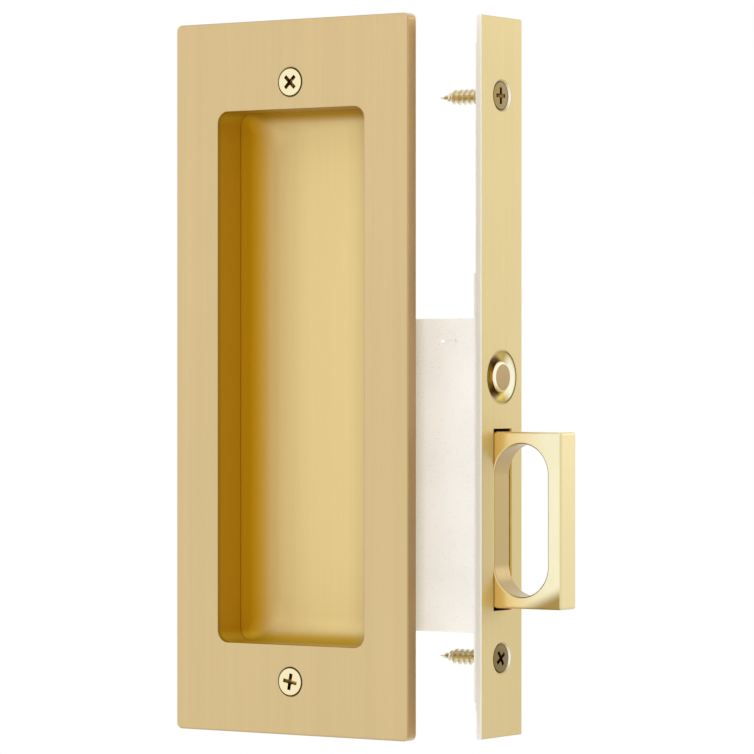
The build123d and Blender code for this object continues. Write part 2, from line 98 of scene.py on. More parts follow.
SLOTTED_NODES = ("inner_front", "case_body")
ZINC_NODES = ("front_rivets", "case_cover", "cover_posts", "cover_screws", "spring_posts", "lever_pivot")
DARK_STEEL_NODES = ("pull_carriage", "carriage_screws", "button_clip", "catch_lever")
ACETAL_NODES = ("guide_upper", "guide_lower")

# Turns of the screws' crosses in degrees, the upper screw first.
EDGE_CROSS_TURNS = (0, 35)
FLUSH_CROSS_TURNS = (45, -10)

# The camera looks past AIM, a little to the left of it.
AIM = Vector((-0.026, -0.010, 0))
FRAME_SHIFT = 2.48 * MM
BETWEEN_PLATES = (-0.03, -0.02, 0)
LAMPS = (
    {
        "name": "front_softbox",
        "place": (-0.9, -1.1, 0.7),
        "aim": BETWEEN_PLATES,
        "size": 1.0,
        "power": 3.2,
        "in_reflections": False,
    },
    {
        "name": "camera_fill",
        "place": (0.81, -1.25, 0.05),
        "aim": BETWEEN_PLATES,
        "size": 0.5,
        "power": 14.0,
        "in_reflections": False,
    },
    {
        "name": "edge_softbox",
        "place": (0.55, 0.75, 0.22),
        "aim": (0, 0, 0.02),
        "size": 0.46,
        "power": 0.46,
        "in_reflections": True,
    },
)


def colour_property(name, description, default):
    """A colour that a user may change."""
    return bpy.props.FloatVectorProperty(
        name=name, description=description, subtype="COLOR", size=3, min=0, max=1, default=default
    )


def length_property(name, description, default):
    """A length in metres that a user may change."""
    return bpy.props.FloatProperty(name=name, description=description, unit="LENGTH", default=default)


class LockFinishes(bpy.types.PropertyGroup):
    """Colours of the metals and the plastic; many of the brass colours are painted light and shade."""

    satin_brass: colour_property("Satin brass", "Face of the flush plate", (0.70, 0.53, 0.265))
    # Painted shade: a darker copy of the satin brass on the flush plate's outer sides.
    painted_side_shade: colour_property("Side brass", "Outer sides of the flush plate", (0.49, 0.325, 0.135))
    pan_brass: colour_property("Pan brass", "Floor of the recess", (0.69, 0.54, 0.245))
    # Painted shade on the recess's side walls, spreading onto the floor up to 9 mm from them.
    recess_painted_shade: colour_property("Recess brass", "Side walls of the recess", (0.41, 0.205, 0.003))
    # Painted shade on the lower end wall of the recess, lighter than on the upper one.
    sill_painted_shade: colour_property("Sill brass", "Lower end wall of the recess", (0.52, 0.345, 0.02))
    # Painted shade on the upper end wall of the recess, darker than on the lower one.
    head_painted_shade: colour_property("Head brass", "Upper end wall of the recess", (0.44, 0.25, 0.01))
    # Painted shade on the recess's walls just inside its mouth.
    mouth_painted_shade: colour_property("Mouth brass", "Walls of the recess at its mouth", (0.27, 0.165, 0.01))
    seam_brass: colour_property("Seam brass", "Seam between the plate and the pan", (0.20, 0.09, 0.003))
    edge_brass: colour_property("Edge brass", "Face of the edge plate", (0.69, 0.56, 0.272))
    # Painted highlight: a near-white brass on the edge plate's front side.
    edge_side_painted_light: colour_property("Edge side brass", "Front side of the edge plate", (1.0, 0.98, 0.90))
    slot_brass: colour_property("Slot brass", "Walls of the slot in the edge plate", (0.72, 0.47, 0.10))
    # Painted shade, not oil: a near-black deep in the pull's slot, in the edge plate and the case.
    slot_painted_shade: colour_property("Slot shade", "Painted shade deep in the pull's slot", (0.03, 0.025, 0.02))
    pull_brass: colour_property("Pull brass", "Outer part of the pull", (1.0, 0.94, 0.64))
    # Painted reflection of the edge plate, darkening the pull near the plate.
    pull_root_painted_reflection: colour_property("Pull root brass", "Pull's brass near the plate", (0.96, 0.72, 0.30))
    # Painted shade on the pull's outer end face.
    pull_end_painted_shade: colour_property("Pull end brass", "Outer end of the pull", (0.79, 0.67, 0.34))
    # Painted shade on the wall of the finger hole.
    pull_hole_painted_shade: colour_property("Pull hole brass", "Wall of the finger hole", (0.49, 0.35, 0.14))
    # Painted reflection of a dark band at the pull's lower outer corner.
    pull_corner_painted_reflection: colour_property("Pull corner brass", "Lower corner of the pull", (0.42, 0.28, 0.07))
    # Painted dark reflection along the finger hole's broken edge.
    pull_arris_painted_reflection: colour_property("Pull arris brass", "Edge of the finger hole", (0.20, 0.12, 0.02))
    dish_brass: colour_property("Dish brass", "Dish round the button", (0.54, 0.40, 0.10))
    dish_rim: colour_property("Dish rim", "Rim of the dish", (0.50, 0.385, 0.16))
    # Painted shade on the dish's rim at its near and far sides.
    dish_edge_painted_shade: colour_property("Dish edge", "Rim of the dish at its two sides", (0.10, 0.075, 0.012))
    # Painted highlight on the far side of the dish.
    dish_painted_light: colour_property("Dish light", "Bright far side of the dish", (0.97, 0.93, 0.72))
    # Painted shade on the near side of the dish.
    dish_painted_shade: colour_property("Dish shade", "Deep near side of the dish", (0.07, 0.022, 0.002))
    # Painted highlight: a near-white brass for the button's rounded rim, which is the button's base
    # colour.
    button_brass_and_highlight: colour_property("Button brass", "Button's rounded rim", (0.98, 0.93, 0.72))
    # Painted shade, not wear, on the button's flat face.
    button_face_painted_shade: colour_property("Button face", "Painted shade on the button's face", (0.325, 0.22, 0.08))
    # Painted shade on the lower part of the button's rim.
    button_sill_painted_shade: colour_property("Button sill", "Lower part of the button's rim", (0.66, 0.52, 0.22))
    # Painted shade on the button's side in the dish.
    button_side_painted_shade: colour_property("Button side", "Button's side in the dish", (0.70, 0.48, 0.14))
    screw_brass: colour_property("Screw brass", "Shanks and threads of wood screws", (0.84, 0.74, 0.50))
    flush_screw_face: colour_property("Flush screw face", "Heads in the flush plate", (0.95, 0.84, 0.52))
    # Painted shade: a dark copy of the screws' brass on the edge screws' heads.
    edge_screw_face_painted_shade: colour_property("Edge screw face", "Heads in the edge plate", (0.20, 0.135, 0.03))
    # Painted shade in the flush screws' cross recesses.
    flush_cross_painted_shade: colour_property("Flush cross", "Crosses in the flush screws", (0.56, 0.41, 0.17))
    # Painted shade in the edge screws' cross recesses.
    edge_cross_painted_shade: colour_property("Edge cross", "Crosses in the edge screws", (0.28, 0.13, 0.02))
    # Painted shade on the bevelled edges round the screws' heads.
    screw_edge_painted_shade: colour_property("Screw edge", "Bevelled edges of the heads", (0.055, 0.03, 0.003))
    zinc: colour_property("Zinc", "Pale zinc plate on the case", (0.95, 0.95, 0.94))
    spring_steel: colour_property("Spring steel", "Oiled steel of springs and catch", (0.45, 0.46, 0.48))
    acetal: colour_property("Acetal", "Plastic of the guide rails", (0.88, 0.88, 0.85))


class LockRecess(bpy.types.PropertyGroup):
    """Sizes of the recess in the flush plate and the pan that closes it."""

    width: length_property("Width", "Width of the recess's mouth", 47.4 * MM)
    height: length_property("Height", "Height of the recess's mouth", 142.2 * MM)
    corner: length_property("Corner", "Radius of the mouth's corners", 3.2 * MM)
    seam_step: length_property("Seam step", "How far the pan stands back at the seam", 0.2 * MM)
    pan_radius: length_property("Pan radius", "Radius between the pan's wall and its floor", 7.0 * MM)
    pan_sheet: length_property("Pan sheet", "Thickness of the pan", 1.2 * MM)


class LockScrews(bpy.types.PropertyGroup):
    """Sizes of the wood screws' heads and threads."""

    head_diameter: length_property("Head", "Diameter of the head", 7.9 * MM)
    shank_diameter: length_property("Shank", "Diameter of the shank and the thread's crest", 4.2 * MM)
    core_diameter: length_property("Core", "Diameter at the root of the thread", 2.9 * MM)
    pitch: length_property("Pitch", "Rise of the thread in one turn", 1.7 * MM)
    tip: length_property("Tip", "Length of the pointed end", 5.0 * MM)
    cross_arm: length_property("Cross arm", "Width across the cross recess", 4.4 * MM)
    cross_width: length_property("Cross width", "Width of each arm of the recess", 1.0 * MM)
    cross_depth: length_property("Cross depth", "Depth of the recess", 2.0 * MM)


class LockSprings(bpy.types.PropertyGroup):
    """Sizes of the coil springs."""

    ejector_wire: length_property("Ejector wire", "Wire of the springs behind the pull", 0.9 * MM)
    ejector_turns: bpy.props.IntProperty(name="Ejector turns", description="Open turns", default=8, min=1)
    catch_wire: length_property("Catch wire", "Wire of the catch's spring", 0.6 * MM)
    catch_turns: bpy.props.IntProperty(name="Catch turns", description="Open turns", default=5, min=1)


class LockStudio(bpy.types.PropertyGroup):
    """Camera, floor and room."""

    azimuth: bpy.props.FloatProperty(
        name="Azimuth",
        description="Turn of the camera from the door's front towards its edge",
        subtype="ANGLE",
        default=math.radians(34),
    )
    distance: length_property("Distance", "From the camera to the lock", 1.1)
    lens: bpy.props.FloatProperty(
        name="Lens", description="Focal length in millimetres", unit="CAMERA", default=197.5
    )
    floor_drop: length_property("Floor drop", "From the plates' lower ends down to the floor", 0.05)
    floor_radius: length_property("Floor radius", "Radius of the round floor", 0.45)
    floor_colour: colour_property("Floor colour", "Pale floor", (0.86, 0.86, 0.85))
    room_light: bpy.props.FloatProperty(
        name="Room light", description="Strength of the white room's light", subtype="FACTOR", default=0.7
    )


def named(entries, name):
    """The one of the record's entries that has a name."""
    return next(entry for entry in entries if entry["name"] == name)


def add_node(tree, kind, inputs=None, **settings):
    """Add a node with its settings. An input is given a value, or a socket to link."""
    node = tree.nodes.new(kind)
    for name, value in settings.items():
        setattr(node, name, value)
    for name, value in (inputs or {}).items():
        if isinstance(value, bpy.types.NodeSocket):
            tree.links.new(value, node.inputs[name])
        else:
            node.inputs[name].default_value = value
    return node


def blend_colours(tree, factor, first, second):
    """The socket of a mix between a first colour, which may be a socket, and a second one."""
    start = first if isinstance(first, bpy.types.NodeSocket) else (*first, 1)
    # A mix of colours has them in its inputs 6 and 7, and the result in its output 2.
    colours = {0: factor, 6: start, 7: (*second, 1)}
    return add_node(tree, "ShaderNodeMix", colours, data_type="RGBA").outputs[2]


def value_math(tree, operation, *values):
    """The socket of a sum on one or two values."""
    return add_node(tree, "ShaderNodeMath", dict(enumerate(values)), operation=operation).outputs["Value"]


def vector_math(tree, operation, *vectors, output="Vector"):
    """The socket of a sum on one or two vectors."""
    inputs = dict(enumerate(vectors))
    return add_node(tree, "ShaderNodeVectorMath", inputs, operation=operation).outputs[output]


def radius(tree, place, plane):
    """The socket of a point's distance from an axis, measured in the plane square to it."""
    return vector_math(tree, "LENGTH", vector_math(tree, "MULTIPLY", place, plane), output="Value")


def split(tree, vector):
    """The sockets of a vector's three parts."""
    return add_node(tree, "ShaderNodeSeparateXYZ", {"Vector": vector}).outputs


def beyond_box(tree, place, low, high):
    """The sockets of how far a point lies outside a box, along each axis."""
    offset = vector_math(tree, "ABSOLUTE", vector_math(tree, "SUBTRACT", place, (low + high) / 2))
    return split(tree, vector_math(tree, "SUBTRACT", offset, (high - low) / 2))


def spread(tree, value, low, high, over=NOISE_MIDDLE, kind="LINEAR"):
    """The socket of a value whose range is spread between two limits."""
    start, end = over
    inputs = {"Value": value, "From Min": start, "From Max": end, "To Min": low, "To Max": high}
    return add_node(tree, "ShaderNodeMapRange", inputs, interpolation_type=kind).outputs["Result"]


def rising(tree, value, over, kind="LINEAR"):
    """A mask that rises from 0 to 1 over a range of a value."""
    return spread(tree, value, 0, 1, over, kind)


def falling(tree, value, over, kind="LINEAR"):
    """A mask that falls from 1 to 0 over a range of a value."""
    return spread(tree, value, 1, 0, over, kind)


def overlap(tree, first, *others):
    """The mask of where several masks lie over each other."""
    product = first
    for mask in others:
        product = value_math(tree, "MULTIPLY", product, mask)
    return product


def noise(tree, inputs, **settings):
    """The socket of a noise pattern."""
    return add_node(tree, "ShaderNodeTexNoise", inputs, **settings).outputs["Fac"]


def start_group(name, vectors, numbers=()):
    """A new shader node group, and the sockets of the vectors and numbers that it is given."""
    tree = bpy.data.node_groups.new(name, "ShaderNodeTree")
    for kind, labels in (("NodeSocketVector", vectors), ("NodeSocketFloat", numbers)):
        for label in labels:
            tree.interface.new_socket(label, in_out="INPUT", socket_type=kind)
    return tree, add_node(tree, "NodeGroupInput").outputs


def close_group(tree, outputs):
    """Give a group its outputs, each a label with the socket that feeds it."""
    for label in outputs:
        tree.interface.new_socket(label, in_out="OUTPUT", socket_type="NodeSocketFloat")
    add_node(tree, "NodeGroupOutput", outputs)
    return tree


def brushing_group(name):
    """Fine lines and broad bands that run along Z."""
    tree, given = start_group(name, ["Coordinates"], ["Across", "Along"])
    across, along = given["Across"], given["Along"]
    stretch = add_node(tree, "ShaderNodeCombineXYZ", {"X": across, "Y": across, "Z": along})
    drawn = vector_math(tree, "MULTIPLY", given["Coordinates"], stretch.outputs["Vector"])
    patterns = {
        "Lines": noise(tree, {"Vector": drawn, "Scale": 1, "Detail": 3, "Roughness": 0.65}),
        "Bands": noise(tree, {"Vector": drawn, "Scale": 0.12, "Detail": 2}),
    }
    return close_group(tree, patterns)


def clouding_group(name):
    """Soft clouds of handling and lacquer, with a fine speckle."""
    speckles_in_cloud = 40
    tree, given = start_group(name, ["Coordinates"], ["Scale"])
    place, scale = given["Coordinates"], given["Scale"]
    finer = value_math(tree, "MULTIPLY", scale, speckles_in_cloud)
    patterns = {
        "Clouds": noise(tree, {"Vector": place, "Scale": scale, "Detail": 3}),
        "Speckle": noise(tree, {"Vector": place, "Scale": finer, "Detail": 2}),
    }
    return close_group(tree, patterns)


def turning_group(name):
    """Fine rings round a line along X, as a lathe tool leaves them."""
    tree, given = start_group(name, ["Coordinates"], ["Rings"])
    rings = value_math(tree, "MULTIPLY", radius(tree, given["Coordinates"], ABOUT_X), given["Rings"])
    lines = noise(tree, {"W": rings, "Scale": 1, "Detail": 2}, noise_dimensions="1D")
    return close_group(tree, {"Lines": lines})


def plate_zones_group(name):
    """Masks of the flush plate's outer sides, and of its recess with its walls, ends, mouth and seam; the
    masks of the sides, walls, ends and mouth carry painted shade.
    """
    side_rim = (-0.35 * MM, -0.05 * MM)
    recess_margin = 0.45 * MM
    under_face = (0.1 * MM, 0.4 * MM)
    mouth_depth = (0.3 * MM, 2.2 * MM)
    side_wall_reach = (1.2 * MM, 9.0 * MM)
    end_wall_reach = (0.3 * MM, 3.0 * MM)
    sill_fade = (10.0 * MM, 20.0 * MM)
    sill_faintest = 0.35
    seam_half_width = 0.25 * MM
    vectors = ["Coordinates", "Normal", "Middle", "Half plate", "Half recess"]
    tree, given = start_group(name, vectors, ["Face", "Seam"])
    outward = vector_math(tree, "SUBTRACT", given["Coordinates"], given["Middle"])
    from_middle = split(tree, outward)
    offset = vector_math(tree, "ABSOLUTE", outward)
    past_side = split(tree, vector_math(tree, "SUBTRACT", offset, given["Half plate"]))
    edge = value_math(tree, "MAXIMUM", past_side["X"], past_side["Z"])
    inset = split(tree, vector_math(tree, "SUBTRACT", given["Half recess"], offset))
    nearest = value_math(tree, "MINIMUM", inset["X"], inset["Z"])
    within = value_math(tree, "GREATER_THAN", nearest, -recess_margin)
    level = split(tree, given["Coordinates"])["Y"]
    depth = value_math(tree, "SUBTRACT", level, given["Face"])
    facing = vector_math(tree, "DOT_PRODUCT", outward, given["Normal"], output="Value")
    inner = value_math(tree, "LESS_THAN", facing, 0)
    inside = overlap(tree, within, rising(tree, depth, under_face), inner)
    end_wall = falling(tree, inset["Z"], end_wall_reach, "SMOOTHSTEP")
    head_wall = overlap(tree, end_wall, value_math(tree, "GREATER_THAN", from_middle["Z"], 0))
    sill_wall = value_math(tree, "SUBTRACT", end_wall, head_wall)
    # The painted shade on the lower end wall fades to about a third of its strength from 10 to 20 mm right
    # of the middle.
    sill_light = spread(tree, from_middle["X"], 1, sill_faintest, sill_fade)
    gap = value_math(tree, "ABSOLUTE", value_math(tree, "SUBTRACT", level, given["Seam"]))
    masks = {
        "Sides": rising(tree, edge, side_rim),
        "Inside": inside,
        "Walls": overlap(tree, inside, falling(tree, inset["X"], side_wall_reach, "SMOOTHSTEP")),
        "Head": overlap(tree, inside, head_wall),
        "Sill": overlap(tree, inside, sill_wall, sill_light),
        "Mouth": overlap(tree, inside, falling(tree, depth, mouth_depth, "SMOOTHSTEP")),
        "Seam": overlap(tree, inside, value_math(tree, "LESS_THAN", gap, seam_half_width)),
    }
    return close_group(tree, masks)


def pull_zones_group(name):
    """Masks of the pull's root, its end, its lower outer corner, and its hole's wall and broken edge,
    where painted shade and painted reflections are laid.
    """
    root_reach = (4.5 * MM, 16.5 * MM)
    end_depth = 1.0 * MM
    end_turn = (0.15, 0.55)
    hole_border = 2.2 * MM
    wall_turn = (0.3, 0.8)
    slant_start_turn = (0.3, 0.5)
    slant_end_turn = (0.9, 0.98)
    arris_fade = (11.0 * MM, 17.0 * MM)
    corner_lean = 0.45
    corner_reach = (2.8 * MM, 6.8 * MM)
    tree, given = start_group(name, ["Coordinates", "Normal", "Low", "High"])
    above = split(tree, vector_math(tree, "SUBTRACT", given["Coordinates"], given["Low"]))
    below = split(tree, vector_math(tree, "SUBTRACT", given["High"], given["Coordinates"]))
    normal = split(tree, given["Normal"])
    at_end = value_math(tree, "LESS_THAN", below["X"], end_depth)
    inset = value_math(tree, "MINIMUM", value_math(tree, "MINIMUM", above["Z"], below["Z"]), below["X"])
    in_hole = value_math(tree, "GREATER_THAN", inset, hole_border)
    across = value_math(tree, "ABSOLUTE", normal["Y"])
    slanted = overlap(tree, rising(tree, across, slant_start_turn), falling(tree, across, slant_end_turn))
    rise = value_math(tree, "ADD", above["Z"], value_math(tree, "MULTIPLY", below["X"], corner_lean))
    masks = {
        "Root": rising(tree, below["X"], root_reach),
        "End": overlap(tree, at_end, rising(tree, normal["X"], end_turn)),
        "Hole": overlap(tree, in_hole, falling(tree, across, wall_turn)),
        "Arris": overlap(tree, in_hole, slanted, falling(tree, below["X"], arris_fade)),
        "Corner": falling(tree, rise, corner_reach, "SMOOTHSTEP"),
    }
    return close_group(tree, masks)


GROUP_MAKERS = {
    "Brushing": brushing_group,
    "Clouding": clouding_group,
    "Turning": turning_group,
    "Plate zones": plate_zones_group,
    "Pull zones": pull_zones_group,
}


def place_group(tree, name, place, inputs):
    """The outputs of a node group, which is made the first time that it is placed."""
    group = bpy.data.node_groups.get(name) or GROUP_MAKERS[name](name)
    given = {"Coordinates": place["Object"], **inputs}
    return add_node(tree, "ShaderNodeGroup", given, node_tree=group).outputs


def surface_of(material):
    """A material's node tree, its shader and its coordinates."""
    tree = material.node_tree
    return tree, tree.nodes["Principled BSDF"], add_node(tree, "ShaderNodeTexCoord").outputs


def start_material(name):
    """A new material, its node tree, its shader and its coordinates."""
    material = bpy.data.materials.new(name)
    material.use_nodes = True
    return material, *surface_of(material)


def vary_colour(tree, shader, colour, pattern, darkest, lightest, over=NOISE_MIDDLE):
    """Let a colour run between two shades of itself with a pattern."""
    shades = [tuple(channel * factor for channel in colour) for factor in (darkest, lightest)]
    tone = blend_colours(tree, rising(tree, pattern, over), *shades)
    tree.links.new(tone, shader.inputs["Base Color"])


def vary_roughness(tree, shader, pattern, smoothest, roughest):
    """Let the roughness run between two limits with a pattern."""
    tree.links.new(spread(tree, pattern, smoothest, roughest), shader.inputs["Roughness"])


def add_relief(tree, shader, pattern, strength, height):
    """Raise a pattern as a fine relief."""
    inputs = {"Height": pattern, "Strength": strength, "Distance": height}
    bump = add_node(tree, "ShaderNodeBump", inputs)
    tree.links.new(bump.outputs["Normal"], shader.inputs["Normal"])


def set_values(shader, values):
    """Set a shader's values that are the same everywhere."""
    for label, value in values.items():
        shader.inputs[label].default_value = value


def overlay(tree, shader, layers):
    """Lay colours over a material's own colour, each as far as its mask says."""
    tone = shader.inputs["Base Color"].links[0].from_socket
    for mask, colour in layers:
        tone = blend_colours(tree, mask, tone, colour)
    tree.links.new(tone, shader.inputs["Base Color"])


def brushed_brass(name, colour, smoothest=0.30, roughest=0.38):
    """Brass brushed along the plates, under a thin clear lacquer."""
    grain_middle = (0.75, 1.25)
    material, tree, shader, place = start_material(name)
    brushing = place_group(tree, "Brushing", place, {"Across": 3600, "Along": 45})
    clouding = place_group(tree, "Clouding", place, {"Scale": 14})
    grain = value_math(tree, "ADD", brushing["Lines"], brushing["Bands"])
    vary_colour(tree, shader, colour, grain, darkest=0.98, lightest=1.02, over=grain_middle)
    vary_roughness(tree, shader, clouding["Clouds"], smoothest, roughest)
    add_relief(tree, shader, brushing["Lines"], strength=0.12, height=0.02 * MM)
    set_values(shader, {"Metallic": 1, "Coat Weight": SATIN_LACQUER, "Coat Roughness": 0.25})
    return material


def polished_brass(name, colour, smoothest=0.15, roughest=0.23):
    """Brass polished by hand, with faint clouds and hairlines."""
    material, tree, shader, place = start_material(name)
    brushing = place_group(tree, "Brushing", place, {"Across": 2400, "Along": 240})
    clouding = place_group(tree, "Clouding", place, {"Scale": 60})
    vary_colour(tree, shader, colour, clouding["Clouds"], darkest=0.96, lightest=1.03)
    vary_roughness(tree, shader, brushing["Lines"], smoothest, roughest)
    add_relief(tree, shader, brushing["Lines"], strength=0.05, height=0.01 * MM)
    set_values(shader, {"Metallic": 1, "Coat Weight": 0.4, "Coat Roughness": smoothest / 2})
    return material


def turned_brass(name, colour, smoothest=0.12, roughest=0.24, lacquer=0.4):
    """Brass turned on a lathe about the button's axis."""
    material, tree, shader, place = start_material(name)
    turning = place_group(tree, "Turning", place, {"Rings": 9000})
    clouding = place_group(tree, "Clouding", place, {"Scale": 120})
    vary_colour(tree, shader, colour, clouding["Clouds"], darkest=0.94, lightest=1.02)
    vary_roughness(tree, shader, turning["Lines"], smoothest, roughest)
    add_relief(tree, shader, turning["Lines"], strength=0.06, height=0.01 * MM)
    set_values(shader, {"Metallic": 1, "Coat Weight": lacquer, "Coat Roughness": 0.08})
    return material


def zinc_plate(name, colour):
    """Rolled steel under bright zinc, a little cloudy."""
    material, tree, shader, place = start_material(name)
    brushing = place_group(tree, "Brushing", place, {"Across": 1500, "Along": 90})
    clouding = place_group(tree, "Clouding", place, {"Scale": 45})
    vary_colour(tree, shader, colour, clouding["Clouds"], darkest=0.95, lightest=1.03)
    vary_roughness(tree, shader, clouding["Speckle"], smoothest=0.26, roughest=0.40)
    add_relief(tree, shader, brushing["Lines"], strength=0.06, height=0.02 * MM)
    set_values(shader, {"Metallic": 0.1})
    return material


def oiled_steel(name, colour):
    """Dark steel with a film of oil."""
    material, tree, shader, place = start_material(name)
    clouding = place_group(tree, "Clouding", place, {"Scale": 180})
    vary_colour(tree, shader, colour, clouding["Clouds"], darkest=0.8, lightest=1.1)
    vary_roughness(tree, shader, clouding["Speckle"], smoothest=0.2, roughest=0.36)
    add_relief(tree, shader, clouding["Speckle"], strength=0.05, height=0.02 * MM)
    set_values(shader, {"Metallic": 1, "Coat Weight": 0.3})
    return material


def moulded_acetal(name, colour):
    """Natural moulded plastic with a fine matt skin."""
    material, tree, shader, place = start_material(name)
    clouding = place_group(tree, "Clouding", place, {"Scale": 90})
    vary_colour(tree, shader, colour, clouding["Clouds"], darkest=0.95, lightest=1.03)
    vary_roughness(tree, shader, clouding["Speckle"], smoothest=0.42, roughest=0.58)
    add_relief(tree, shader, clouding["Speckle"], strength=0.1, height=0.02 * MM)
    return material


def flush_brass(name, colour, finishes, recess):
    """Brushed brass with painted shade on its outer sides and on the recess's walls, ends and mouth, where
    the brass is also less metallic and has no lacquer.
    """
    recess_metal = 0.28
    material = brushed_brass(name, colour)
    tree, shader, place = surface_of(material)
    low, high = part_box("flush_plate")
    given = {
        "Normal": place["Normal"],
        "Middle": (low + high) / 2,
        "Half plate": (high - low) / 2,
        "Half recess": (recess.width / 2, 0, recess.height / 2),
        "Face": low.y,
        "Seam": high.y,
    }
    zones = place_group(tree, "Plate zones", place, given)
    # Painted shade on the outer sides and on the recess's walls, ends and mouth, then a dark seam line.
    layers = [
        (zones["Sides"], finishes.painted_side_shade),
        (zones["Walls"], finishes.recess_painted_shade),
        (zones["Head"], finishes.head_painted_shade),
        (zones["Sill"], finishes.sill_painted_shade),
        (zones["Mouth"], finishes.mouth_painted_shade),
        (zones["Seam"], finishes.seam_brass),
    ]
    overlay(tree, shader, layers)
    tree.links.new(spread(tree, zones["Inside"], 1, recess_metal, WHOLE), shader.inputs["Metallic"])
    tree.links.new(spread(tree, zones["Inside"], SATIN_LACQUER, 0, WHOLE), shader.inputs["Coat Weight"])
    set_values(shader, {"Specular IOR Level": 0.1})
    return material


def edge_brass(name, finishes):
    """Brushed brass with a painted highlight on its front side, less metallic in the pull's slot, and
    painted shade deep in the slot.
    """
    cut_turn = (0.05, 0.3)
    front_turn = (-0.7, -0.4)
    slot_depth = (0.55 * MM, 0.75 * MM)
    slot_metal = 0.2
    material = brushed_brass(name, finishes.edge_brass, smoothest=0.50, roughest=0.58)
    tree, shader, place = surface_of(material)
    normal = split(tree, place["Normal"])
    cut = falling(tree, value_math(tree, "ABSOLUTE", normal["X"]), cut_turn)
    beyond = beyond_box(tree, place["Object"], *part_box("pull_carriage"))
    sideways = value_math(tree, "MAXIMUM", beyond["Y"], beyond["Z"])
    slot = overlap(tree, cut, value_math(tree, "LESS_THAN", sideways, 0))
    depth = value_math(tree, "SUBTRACT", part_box("edge_plate")[1].x, split(tree, place["Object"])["X"])
    layers = [
        (falling(tree, normal["Y"], front_turn), finishes.edge_side_painted_light),
        (slot, finishes.slot_brass),
        (overlap(tree, slot, rising(tree, depth, slot_depth)), finishes.slot_painted_shade),
    ]
    overlay(tree, shader, layers)
    tree.links.new(spread(tree, slot, 1, slot_metal, WHOLE), shader.inputs["Metallic"])
    return material


def pull_brass(name, finishes):
    """Polished brass with painted reflections near the plate, at the lower corner and on the finger hole's
    edge, and painted shade in the finger hole and on the outer end.
    """
    material = polished_brass(name, finishes.pull_brass, smoothest=0.28, roughest=0.36)
    tree, shader, place = surface_of(material)
    low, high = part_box("edge_pull")
    given = {"Normal": place["Normal"], "Low": low, "High": high}
    zones = place_group(tree, "Pull zones", place, given)
    layers = [
        (zones["Root"], finishes.pull_root_painted_reflection),
        (zones["Corner"], finishes.pull_corner_painted_reflection),
        (zones["Hole"], finishes.pull_hole_painted_shade),
        (zones["Arris"], finishes.pull_arris_painted_reflection),
        (zones["End"], finishes.pull_end_painted_shade),
    ]
    overlay(tree, shader, layers)
    return material


def screw_brass(name, finishes, face, cross, head, inward):
    """Polished brass with a head's own face, a dark copy in painted shade on the edge screws, and painted
    shade on the edge and cross below that face.
    """
    cross_bottom, edge_bottom, face_bottom = 2.4 * MM, 0.4 * MM, 0.01 * MM
    material = polished_brass(name, finishes.screw_brass)
    tree, shader, place = surface_of(material)
    below = vector_math(tree, "SUBTRACT", place["Object"], head)
    depth = vector_math(tree, "DOT_PRODUCT", below, inward, output="Value")
    layers = [
        (value_math(tree, "LESS_THAN", depth, cross_bottom), cross),
        (value_math(tree, "LESS_THAN", depth, edge_bottom), finishes.screw_edge_painted_shade),
        (value_math(tree, "LESS_THAN", depth, face_bottom), face),
    ]
    overlay(tree, shader, layers)
    return material


def ferrule_brass(name, finishes):
    """Turned brass with painted shade on its rim at both sides, a painted highlight on the dish's far
    side, and painted shade on the dish's near side.
    """
    rim_depth = 0.05 * MM
    far_rim = (0.5 * MM, 3.5 * MM)
    near_rim = (-5.5 * MM, -4.0 * MM)
    bright_side = (2.5 * MM, 5.0 * MM)
    oval_factor = 2.36
    oval_edge = (10.5 * MM, 13.5 * MM)
    shade_faintest = 0.05
    shade_height = (1.2 * MM, 3.6 * MM)
    material = turned_brass(name, finishes.dish_brass, smoothest=0.26, roughest=0.38, lacquer=0.1)
    tree, shader, place = surface_of(material)
    point = split(tree, place["Object"])
    rim = value_math(tree, "GREATER_THAN", point["X"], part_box("button_ferrule")[1].x - rim_depth)
    both_sides = value_math(
        tree, "MAXIMUM", rising(tree, point["Y"], far_rim), falling(tree, point["Y"], near_rim)
    )
    # Y plus a multiple of the radius stays the same round an oval that is set towards the near side.
    outward = value_math(tree, "MULTIPLY", radius(tree, place["Object"], ABOUT_X), oval_factor)
    near_oval = falling(tree, value_math(tree, "ADD", point["Y"], outward), oval_edge)
    ends = spread(tree, value_math(tree, "ABSOLUTE", point["Z"]), shade_faintest, 1, shade_height)
    # Painted shade lies inside that oval, faint level with the button's middle and full above and below
    # it.
    layers = [
        (rising(tree, point["Y"], bright_side), finishes.dish_painted_light),
        (overlap(tree, near_oval, ends), finishes.dish_painted_shade),
        (rim, finishes.dish_rim),
        (overlap(tree, rim, both_sides), finishes.dish_edge_painted_shade),
    ]
    overlay(tree, shader, layers)
    return material


def button_brass_and_highlight(name, finishes):
    """Turned brass with a painted highlight on its rounded rim, and painted shade on its face, its side
    and the lower part of its rim.
    """
    sill_height = (-3.6 * MM, -1.8 * MM)
    face_turn = (0.97, 0.995)
    side_turn = (0.05, 0.3)
    material = turned_brass(name, finishes.button_brass_and_highlight)
    tree, shader, place = surface_of(material)
    outward = split(tree, place["Normal"])["X"]
    height = split(tree, place["Object"])["Z"]
    layers = [
        (falling(tree, height, sill_height), finishes.button_sill_painted_shade),
        (rising(tree, outward, face_turn), finishes.button_face_painted_shade),
        (falling(tree, outward, side_turn), finishes.button_side_painted_shade),
    ]
    overlay(tree, shader, layers)
    return material


